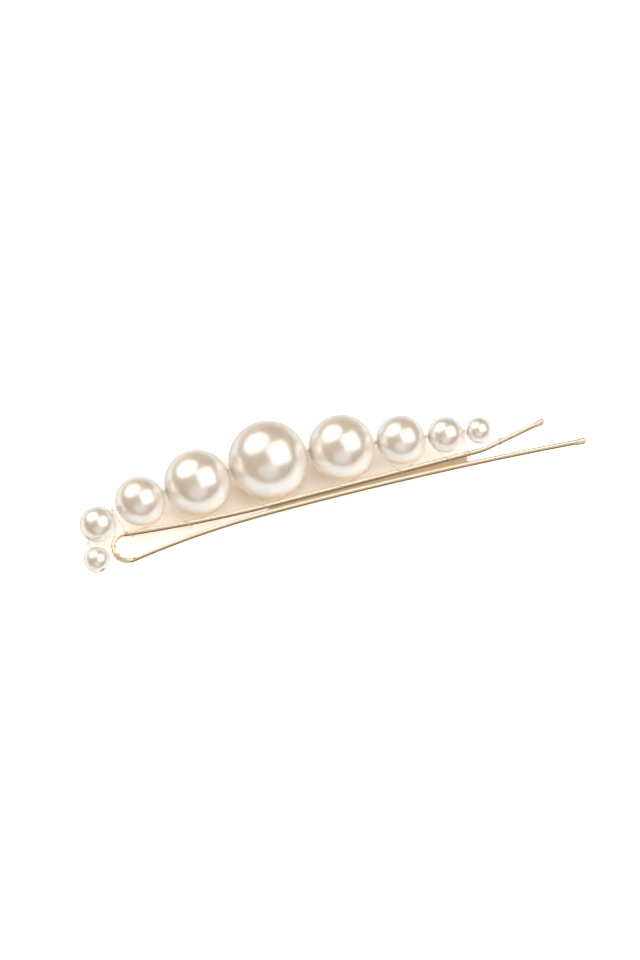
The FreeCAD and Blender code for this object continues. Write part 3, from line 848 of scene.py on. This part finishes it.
def add_stage(main_pearl, lower_arm):
    reach = FLOOR_SIZE / 2
    corners = ((-reach, -reach), (reach, -reach), (reach, reach), (-reach, reach))
    lowest = cad_box[0].z / MM
    floor = skin("floor", [[Vector((x, y, lowest - drop)) for x, y in corners]
                           for drop in (FLOOR_THICKNESS, FLOOR_GAP)])
    floor.data.materials.append(floor_paper(lower_arm))
    add_panel("softbox_left", main_pearl, (-0.31, 0.43), 600, (760, 690), 1.65)
    add_panel("softbox_right", main_pearl, (0.305, 0.18), 600, (700, 670), 1.65, turn=30, shape="RECTANGLE")
    add_panel("fill_front", main_pearl, (0.04, -0.31), 700, (800, 620), 0.46, (0.88, 1.0, 1.2))
    make_unmirrored(add_panel("fill_overhead", main_pearl, (-0.05, -0.1), 900, (1800, 1800), 0.5,
                              (1.0, 0.97, 0.93)))
    light_room()


def light_room():
    """A warm surround for everything but the camera's own rays, which see white."""
    world = bpy.data.worlds.new("room")
    bpy.context.scene.world = world
    world.use_nodes = True
    tree = world.node_tree
    tint = tree.nodes.new("ShaderNodeMix")
    tint.data_type = "RGBA"
    tint.inputs[6].default_value = ROOM_TINT
    tint.inputs[7].default_value = WHITE
    tree.links.new(tree.nodes.new("ShaderNodeLightPath").outputs["Is Camera Ray"], tint.inputs[0])
    tree.links.new(tint.outputs[2], tree.nodes["Background"].inputs["Color"])


# ------------------------------------------------------------------------------------- build

def make_unmirrored(*pieces):
    """Keeps things out of mirror images: the pearls show neither the strip nor the overhead fill."""
    for piece in pieces:
        piece.visible_glossy = False


def finish_piece(piece, body, slot, material, *nodes):
    """Gives a piece its material and its body, and hides the CAD nodes it stands for. Its slot is not used.
    """
    piece.data.materials.append(material)
    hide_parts(*nodes)
    if body:
        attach(piece, body)


def build():
    strip, line, resin, pearl = gold_strip(), clear_thread(), tip_resin(), pearl_coat()
    upper, lower = upper_stations(), lower_stations()
    upper_arm, lower_arm = make_strip("pin_arm_upper", upper), make_strip("pin_arm_lower", lower)
    finish_piece(upper_arm, "pin", "gold_strip", strip, "upper_arm")
    finish_piece(lower_arm, "lower_leg", "gold_strip", strip, "lower_arm")
    finish_piece(make_tip("dipped_tip_upper", upper), "pin", "tip_resin", resin, "upper_tip")
    finish_piece(make_tip("dipped_tip_lower", lower), "lower_leg", "tip_resin", resin, "lower_tip")
    loop = make_loop()
    finish_piece(loop, None, "gold_strip", strip, "spring_loop")
    make_unmirrored(upper_arm, lower_arm, loop)
    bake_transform(loop)
    layout = pearl_layout()
    for number, (centre, direction, radius) in enumerate(layout, start=1):
        bead = make_pearl(number, centre, direction, radius)
        finish_piece(bead, "bead_%d" % number, "pearl", pearl, "pearl_%d" % number)
    string = make_thread("pearl_string", string_points(layout, upper), STRING_DIA)
    finish_piece(string, "pin", "clear_thread", line, "string_thread")
    whip = make_thread("whipping_thread", binding_points(layout, upper), BINDING_DIA)
    finish_piece(whip, "pin", "clear_thread", line, "binding_thread")
    main_pearl = layout[PEARLS // 2][0]
    add_camera(main_pearl)
    add_stage(main_pearl, lower_arm)
    bpy.context.scene.view_settings.view_transform = "Standard"


build()
